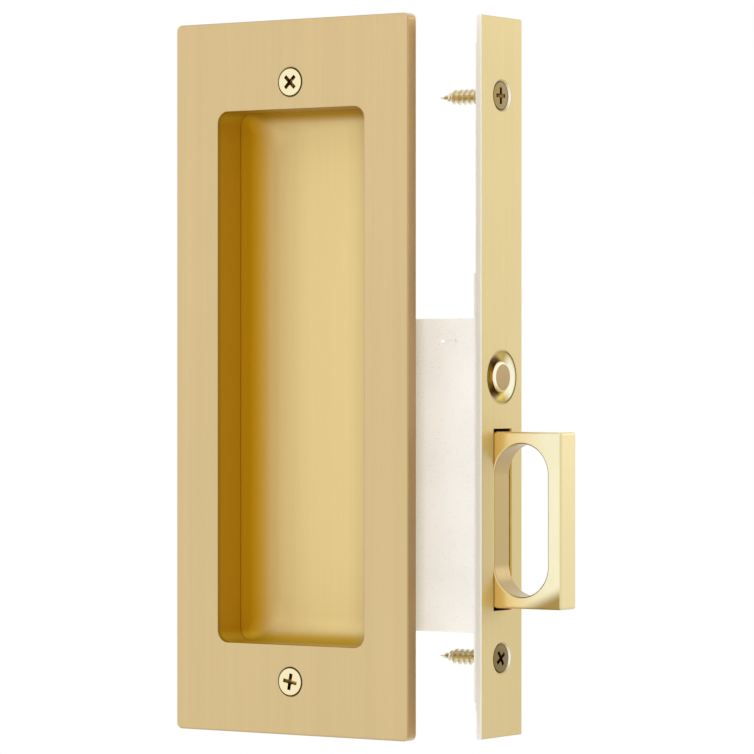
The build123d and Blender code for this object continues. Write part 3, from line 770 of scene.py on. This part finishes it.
def slotted_zinc(name, finishes):
    """Zinc plate with painted shade where the pull runs through it."""
    material = zinc_plate(name, finishes.zinc)
    tree, shader, place = surface_of(material)
    low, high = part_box("pull_carriage")
    reach = Vector((high.x - low.x, 0, 0))
    beyond = beyond_box(tree, place["Object"], low + reach, high + reach)
    sideways = value_math(tree, "MAXIMUM", beyond["Y"], beyond["Z"])
    farthest = value_math(tree, "MAXIMUM", beyond["X"], sideways)
    # Painted shade where the pull runs through the case.
    overlay(tree, shader, [(value_math(tree, "LESS_THAN", farthest, 0), finishes.slot_painted_shade)])
    return material


def dress(material, names):
    """Give CAD nodes a material."""
    for name in names:
        mesh = frame["nodes"][name].data
        mesh.materials.clear()
        mesh.materials.append(material)


def object_of(bm, name):
    """Make an object of a bmesh and put it in the scene."""
    mesh = bpy.data.meshes.new(name)
    bm.to_mesh(mesh)
    bm.free()
    item = bpy.data.objects.new(name, mesh)
    bpy.context.scene.collection.objects.link(item)
    return item


def finish_piece(bm, name, material, body, replaced):
    """Make a smooth object of a bmesh and set it on its body in the place of CAD nodes."""
    piece = object_of(bm, name)
    mesh = piece.data
    mesh.materials.append(material)
    mesh.polygons.foreach_set("use_smooth", [True] * len(mesh.polygons))
    mesh.set_sharp_from_angle(angle=SMOOTH_ANGLE)
    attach(piece, body)
    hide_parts(*replaced)
    return piece


def close_ends(bm, sides):
    """Fill open ends that have up to a number of sides, where 0 is any number, and face all outwards."""
    open_edges = [edge for edge in bm.edges if edge.is_boundary]
    bmesh.ops.holes_fill(bm, edges=open_edges, sides=sides)
    bmesh.ops.recalc_face_normals(bm, faces=bm.faces)


def wind(bm, section, rise, turns):
    """Wind a section round Z with a rise in each turn, and give back the section at the end."""
    wound = bmesh.ops.spin(
        bm,
        geom=section,
        cent=(0, 0, 0),
        axis=(0, 0, 1),
        dvec=(0, 0, rise / STEPS_PER_TURN),
        angle=turns * FULL_TURN,
        steps=round(turns * STEPS_PER_TURN),
    )
    return wound["geom_last"]


def spin_outline(bm, outline, steps):
    """Turn an outline of (radius, height) points about Z, with its ends on the axis."""
    points = [bm.verts.new((distance, 0, height)) for distance, height in outline]
    lines = [bm.edges.new(pair) for pair in zip(points, points[1:])]
    bmesh.ops.spin(
        bm,
        geom=points + lines,
        cent=(0, 0, 0),
        axis=(0, 0, 1),
        angle=FULL_TURN,
        steps=steps,
        use_merge=True,
    )
    bmesh.ops.remove_doubles(bm, verts=bm.verts, dist=WELD)
    bmesh.ops.recalc_face_normals(bm, faces=bm.faces)


def screw_blank(sizes, length, grip):
    """A screw's head, shank and core about Z, with the head's face at height 0."""
    head, shank, core = sizes.head_diameter / 2, sizes.shank_diameter / 2, sizes.core_diameter / 2
    bevel = 0.45 * MM
    rounding = 0.08 * MM
    rim = 0.32 * MM
    outline = [
        (0, 0),
        (head - bevel, 0),
        (head - rounding, -rounding),
        (head, -rim),
        (shank + rim, shank - head),
        (shank, shank - head - rim),
        (shank, -grip),
        (core, -grip - (shank - core)),
        (core, sizes.tip - length),
        (0, -length),
    ]
    bm = bmesh.new()
    spin_outline(bm, outline, steps=64)
    return bm


def add_thread(bm, sizes, length, grip):
    """Wind a sharp ridge round the core, closing in on the tip."""
    finest = 0.08
    lead = 0.4 * sizes.pitch
    half_ridge = 0.3 * sizes.pitch
    root, crest = 0.9 * sizes.core_diameter / 2, sizes.shank_diameter / 2
    start = -grip - lead
    ridge = ((root, 0, start + half_ridge), (crest, 0, start), (root, 0, start - half_ridge))
    blank = set(bm.verts)
    section = bm.faces.new([bm.verts.new(place) for place in ridge])
    wind(bm, [section, *section.edges, *section.verts], -sizes.pitch, (length + start) / sizes.pitch)
    tip_start = sizes.tip - length
    for vert in set(bm.verts) - blank:
        if vert.co.z < tip_start:
            share = max(finest, (vert.co.z + length) / sizes.tip)
            vert.co.x *= share
            vert.co.y *= share
            vert.co.z = max(vert.co.z, -length)
    close_ends(bm, sides=len(ridge))


def cross_blade(sizes, turn):
    """A tapered blade that cuts two arms of the cross recess."""
    taper = 0.5
    bm = bmesh.new()
    bmesh.ops.create_cube(bm, size=1)
    bmesh.ops.scale(bm, vec=(sizes.cross_arm, sizes.cross_width, 2 * sizes.cross_depth), verts=bm.verts)
    for vert in bm.verts:
        share = taper if vert.co.z < 0 else 2 - taper
        vert.co.x *= share
        vert.co.y *= share
    bmesh.ops.rotate(bm, cent=(0, 0, 0), matrix=Matrix.Rotation(turn, 3, "Z"), verts=bm.verts)
    return bm


def cross_cutters(sizes):
    """Two tapered blades and a pointed core that cut the cross recess."""
    core_tip = 0.2 * sizes.cross_width
    core_top = 1.45 * sizes.cross_width
    core = bmesh.new()
    bmesh.ops.create_cone(
        core, cap_ends=True, segments=8, radius1=core_tip, radius2=core_top, depth=2 * sizes.cross_depth
    )
    return [cross_blade(sizes, 0), cross_blade(sizes, QUARTER_TURN), core]


def carve(bm, cutters):
    """Cut solids out of a solid, and give back the result as a bmesh."""
    blank = object_of(bm, "blank")
    tools = [object_of(cutter, f"cutter_{place}") for place, cutter in enumerate(cutters)]
    for tool in tools:
        cut = blank.modifiers.new(tool.name, "BOOLEAN")
        cut.operation = "DIFFERENCE"
        cut.solver = "EXACT"
        cut.object = tool
    depsgraph = bpy.context.evaluated_depsgraph_get()
    carved = bmesh.new()
    carved.from_mesh(blank.evaluated_get(depsgraph).to_mesh())
    for item in (blank, *tools):
        bpy.data.meshes.remove(item.data)
    return carved


def wood_screw(sizes, length, grip):
    """A countersunk wood screw with a cross recess and a thread, its head facing up Z."""
    bm = carve(screw_blank(sizes, length, grip), cross_cutters(sizes))
    add_thread(bm, sizes, length, grip)
    return bm


def place_copies(source, places):
    """Copy a bmesh to several places, each a matrix, in one new bmesh."""
    mesh = bpy.data.meshes.new("copied")
    source.to_mesh(mesh)
    source.free()
    bm = bmesh.new()
    for place in places:
        known = set(bm.verts)
        bm.from_mesh(mesh)
        bmesh.ops.transform(bm, matrix=place, verts=[v for v in bm.verts if v not in known])
    bpy.data.meshes.remove(mesh)
    return bm


def screw_places(faces, lie, turns):
    """Where screws go: the middles of their heads' faces, how they lie, and the turns of their crosses."""
    return [
        Matrix.Translation(face) @ lie @ Matrix.Rotation(math.radians(turn), 4, "Z")
        for face, turn in zip(faces, turns)
    ]


def coil(start, length, diameter, wire, turns, z):
    """A compression spring along X with a closed turn at each end."""
    bm = bmesh.new()
    bmesh.ops.create_circle(bm, cap_ends=True, segments=10, radius=wire / 2)
    bmesh.ops.rotate(bm, cent=(0, 0, 0), matrix=Matrix.Rotation(QUARTER_TURN, 3, "X"), verts=bm.verts)
    bmesh.ops.translate(bm, vec=(diameter / 2, 0, wire / 2), verts=bm.verts)
    section = list(bm.verts) + list(bm.edges) + list(bm.faces)
    open_rise = (length - wire) / turns - 2 * wire / turns
    for count, rise in ((1, wire), (turns, open_rise), (1, wire)):
        section = wind(bm, section, rise, count)
    bmesh.ops.remove_doubles(bm, verts=bm.verts, dist=WELD)
    close_ends(bm, sides=0)
    lie = Matrix.Translation((start, 0, z)) @ Matrix.Rotation(QUARTER_TURN, 4, "Y")
    bmesh.ops.transform(bm, matrix=lie, verts=bm.verts)
    return bm


def rounded_ring(bm, half_width, half_height, corner, depth):
    """A rounded rectangle of edges at a depth along Y."""
    corners = [(-1, -1), (1, -1), (1, 1), (-1, 1)]
    known = set(bm.edges)
    points = [bm.verts.new((half_width * x, depth, half_height * z)) for x, z in corners]
    bm.faces.new(points)
    bmesh.ops.bevel(
        bm,
        geom=points,
        offset=corner,
        offset_type="OFFSET",
        affect="VERTICES",
        segments=10,
        profile=0.5,
        material=-1,
    )
    bmesh.ops.delete(bm, geom=list(bm.faces), context="FACES_ONLY")
    return [edge for edge in bm.edges if edge not in known]


def pressed_pan(recess, middle_x, seam_y):
    """A pan whose wall runs into its floor along a quarter circle."""
    sections = 12
    floor_border = 0.3 * MM
    bm = bmesh.new()
    rings = []
    for step in range(sections + 1):
        angle = QUARTER_TURN * step / sections
        inset = recess.pan_radius * (1 - math.cos(angle))
        half_width = recess.width / 2 + recess.seam_step - inset
        half_height = recess.height / 2 + recess.seam_step - inset
        depth = seam_y + recess.pan_radius * math.sin(angle)
        rings.append(rounded_ring(bm, half_width, half_height, recess.corner + inset / 2, depth))
    for upper, lower in zip(rings, rings[1:]):
        bmesh.ops.bridge_loops(bm, edges=upper + lower)
    floor = bmesh.ops.contextual_create(bm, geom=rings[-1])["faces"]
    bmesh.ops.inset_region(bm, faces=floor, thickness=floor_border)
    bmesh.ops.recalc_face_normals(bm, faces=bm.faces)
    bmesh.ops.reverse_faces(bm, faces=bm.faces)
    bmesh.ops.solidify(bm, geom=bm.faces, thickness=recess.pan_sheet)
    bmesh.ops.translate(bm, vec=(middle_x, 0, 0), verts=bm.verts)
    return bm


def seen_directly(tree):
    """A mask of the rays that come from the camera, a reflection or a clear material."""
    path = add_node(tree, "ShaderNodeLightPath").outputs
    opaque = value_math(tree, "MAXIMUM", path["Is Camera Ray"], path["Is Glossy Ray"])
    return value_math(tree, "MAXIMUM", opaque, path["Is Transmission Ray"])


def show_white(tree, share, lit, kind, output):
    """Mix a lit shader with a plain white one of a kind, and send both to the output node."""
    white = add_node(tree, kind, {"Color": (1, 1, 1, 1), "Strength": 1}).outputs[0]
    mix = add_node(tree, "ShaderNodeMixShader", {0: share, 1: lit, 2: white})
    tree.links.new(mix.outputs["Shader"], tree.nodes[output].inputs["Surface"])


def make_floor(height, studio):
    """A pale round floor that fades into the white round it."""
    middle_whiteness = 0.6
    fade = (0.25 * studio.floor_radius, 0.95 * studio.floor_radius)
    bm = bmesh.new()
    bmesh.ops.create_circle(bm, cap_ends=True, segments=96, radius=studio.floor_radius)
    bmesh.ops.translate(bm, vec=(0, 0, height), verts=bm.verts)
    floor = object_of(bm, "floor")
    material, tree, shader, place = start_material("pale_floor")
    set_values(shader, {"Base Color": (*studio.floor_colour, 1), "Roughness": 0.9})
    whiteness = spread(tree, radius(tree, place["Object"], ABOUT_Z), middle_whiteness, 1, fade)
    share = overlap(tree, whiteness, seen_directly(tree))
    show_white(tree, share, shader.outputs["BSDF"], "ShaderNodeEmission", "Material Output")
    floor.data.materials.append(material)


def make_world(scene, strength):
    """A white room: full white where it is seen, a softer white as light."""
    world = bpy.data.worlds.new("white_room")
    world.use_nodes = True
    tree = world.node_tree
    soft = tree.nodes["Background"]
    set_values(soft, {"Color": (1, 1, 1, 1), "Strength": strength})
    lit = soft.outputs["Background"]
    show_white(tree, seen_directly(tree), lit, "ShaderNodeBackground", "World Output")
    scene.world = world


def make_lamp(name, place, aim, size, power, in_reflections):
    """A square soft lamp that faces a point."""
    lamp = bpy.data.lights.new(name, "AREA")
    lamp.shape = "SQUARE"
    lamp.size = size
    lamp.energy = power
    item = bpy.data.objects.new(name, lamp)
    item.visible_glossy = in_reflections
    item.location = place
    item.rotation_euler = (Vector(aim) - Vector(place)).to_track_quat("-Z", "Y").to_euler()
    bpy.context.scene.collection.objects.link(item)


def make_camera(scene, studio):
    """A level camera that looks between the door's front and its edge."""
    camera = bpy.data.cameras.new("camera")
    camera.lens = studio.lens
    camera.clip_start = 10 * MM
    item = bpy.data.objects.new("camera", camera)
    turn = studio.azimuth
    right = Vector((math.cos(turn), math.sin(turn), 0))
    forward = Vector((-math.sin(turn), math.cos(turn), 0))
    item.location = AIM - FRAME_SHIFT * right - studio.distance * forward
    item.rotation_euler = (QUARTER_TURN, 0, turn)
    scene.collection.objects.link(item)
    scene.camera = item


class LOCK_OT_brass(bpy.types.Operator):
    """Give the plates, the pull and the button their brass"""

    bl_idname = "lock.brass"
    bl_label = "Brass finishes"

    def execute(self, context):
        finishes = context.scene.lock_finishes
        recess = context.scene.lock_recess
        dress(flush_brass("flush_brass", finishes.satin_brass, finishes, recess), ["flush_plate"])
        dress(edge_brass("edge_brass", finishes), ["edge_plate"])
        dress(pull_brass("pull_brass", finishes), ["edge_pull"])
        dress(ferrule_brass("ferrule_brass", finishes), ["button_ferrule"])
        dress(button_brass_and_highlight("button_brass_and_highlight", finishes), ["button"])
        return {"FINISHED"}


class LOCK_OT_pan(bpy.types.Operator):
    """Press the pan that closes the recess"""

    bl_idname = "lock.pan"
    bl_label = "Recess pan"

    def execute(self, context):
        finishes = context.scene.lock_finishes
        recess = context.scene.lock_recess
        low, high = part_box("flush_cup")
        brass = flush_brass("pan_brass", finishes.pan_brass, finishes, recess)
        bm = pressed_pan(recess, (low.x + high.x) / 2, low.y)
        finish_piece(bm, "flush_pan", brass, "root", ["flush_cup"])
        return {"FINISHED"}


class LOCK_OT_works(bpy.types.Operator):
    """Give the case and the works inside it their steel and plastic"""

    bl_idname = "lock.works"
    bl_label = "Case and works finishes"

    def execute(self, context):
        finishes = context.scene.lock_finishes
        dress(slotted_zinc("slotted_zinc", finishes), SLOTTED_NODES)
        dress(zinc_plate("zinc_plate", finishes.zinc), ZINC_NODES)
        dress(oiled_steel("oiled_steel", finishes.spring_steel), DARK_STEEL_NODES)
        dress(moulded_acetal("acetal", finishes.acetal), ACETAL_NODES)
        return {"FINISHED"}


class LOCK_OT_screws(bpy.types.Operator):
    """Make the wood screws of both plates"""

    bl_idname = "lock.screws"
    bl_label = "Wood screws"

    def execute(self, context):
        sizes = context.scene.lock_screws
        finishes = context.scene.lock_finishes
        head = sizes.head_diameter / 2

        low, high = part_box("edge_screws")
        faces = [(high.x, 0, high.z - head), (high.x, 0, low.z + head)]
        places = screw_places(faces, Matrix.Rotation(QUARTER_TURN, 4, "Y"), EDGE_CROSS_TURNS)
        bm = place_copies(wood_screw(sizes, high.x - low.x, high.x), places)
        # The edge screws' heads take painted shade on their faces and in their crosses.
        colours = finishes.edge_screw_face_painted_shade, finishes.edge_cross_painted_shade
        brass = screw_brass("edge_screw_brass", finishes, *colours, high, (-1, 0, 0))
        finish_piece(bm, "edge_wood_screws", brass, "root", ["edge_screws"])

        low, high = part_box("flush_screws")
        middle = (low.x + high.x) / 2
        seat = named(frame["record"]["mounts"], "flush_screws")["pos_m"][1]
        faces = [(middle, low.y, high.z - head), (middle, low.y, low.z + head)]
        places = screw_places(faces, Matrix.Rotation(QUARTER_TURN, 4, "X"), FLUSH_CROSS_TURNS)
        bm = place_copies(wood_screw(sizes, high.y - low.y, seat - low.y), places)
        # The flush screws' crosses take painted shade.
        colours = finishes.flush_screw_face, finishes.flush_cross_painted_shade
        brass = screw_brass("flush_screw_brass", finishes, *colours, low, (0, 1, 0))
        finish_piece(bm, "flush_wood_screws", brass, "root", ["flush_screws"])
        return {"FINISHED"}


class LOCK_OT_springs(bpy.types.Operator):
    """Wind the springs of the pull and the catch"""

    bl_idname = "lock.springs"
    bl_label = "Springs"

    def execute(self, context):
        springs = context.scene.lock_springs
        steel = oiled_steel("spring_wire", context.scene.lock_finishes.spring_steel)
        plan = (
            ("ejector_spring_upper", springs.ejector_wire, springs.ejector_turns, "pull_slide"),
            ("ejector_spring_lower", springs.ejector_wire, springs.ejector_turns, "pull_slide"),
            ("catch_spring", springs.catch_wire, springs.catch_turns, "button_press"),
        )
        for node, wire, turns, joint in plan:
            low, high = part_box(node)
            length = high.x - low.x
            z = (low.z + high.z) / 2
            bm = coil(low.x, length, high.z - low.z - wire, wire, turns, z)
            piece = finish_piece(bm, f"{node}_wire", steel, "root", [node])
            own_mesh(piece)
        return {"FINISHED"}


class LOCK_OT_studio(bpy.types.Operator):
    """Set up the floor, the lights, the world and the camera"""

    bl_idname = "lock.studio"
    bl_label = "Studio"

    def execute(self, context):
        studio = context.scene.lock_studio
        context.scene.view_settings.view_transform = "Standard"
        make_floor(cad_box[0].z - studio.floor_drop, studio)
        make_world(context.scene, studio.room_light)
        for lamp in LAMPS:
            make_lamp(**lamp)
        make_camera(context.scene, studio)
        return {"FINISHED"}


PROPERTY_GROUPS = {
    "lock_finishes": LockFinishes,
    "lock_recess": LockRecess,
    "lock_screws": LockScrews,
    "lock_springs": LockSprings,
    "lock_studio": LockStudio,
}
OPERATORS = (LOCK_OT_brass, LOCK_OT_pan, LOCK_OT_works, LOCK_OT_screws, LOCK_OT_springs, LOCK_OT_studio)


class LOCK_PT_panel(bpy.types.Panel):
    """The lock's pieces and finishes"""

    bl_idname = "LOCK_PT_panel"
    bl_label = "Pocket Door Lock"
    bl_space_type = "VIEW_3D"
    bl_region_type = "UI"
    bl_category = "Lock"

    def draw(self, context):
        for operator in OPERATORS:
            self.layout.operator(operator.bl_idname)


def register():
    """Register the classes and hang the lock's properties on the scene."""
    for item in (*PROPERTY_GROUPS.values(), *OPERATORS, LOCK_PT_panel):
        bpy.utils.register_class(item)
    for name, group in PROPERTY_GROUPS.items():
        setattr(bpy.types.Scene, name, bpy.props.PointerProperty(type=group))


def unregister():
    """Take off what register put on."""
    for name in PROPERTY_GROUPS:
        delattr(bpy.types.Scene, name)
    for item in (LOCK_PT_panel, *OPERATORS, *PROPERTY_GROUPS.values()):
        bpy.utils.unregister_class(item)


def main():
    """Dress the lock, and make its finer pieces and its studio."""
    register()
    bpy.ops.lock.brass()
    bpy.ops.lock.pan()
    bpy.ops.lock.works()
    bpy.ops.lock.screws()
    bpy.ops.lock.springs()
    bpy.ops.lock.studio()


if __name__ == "__main__":
    main()
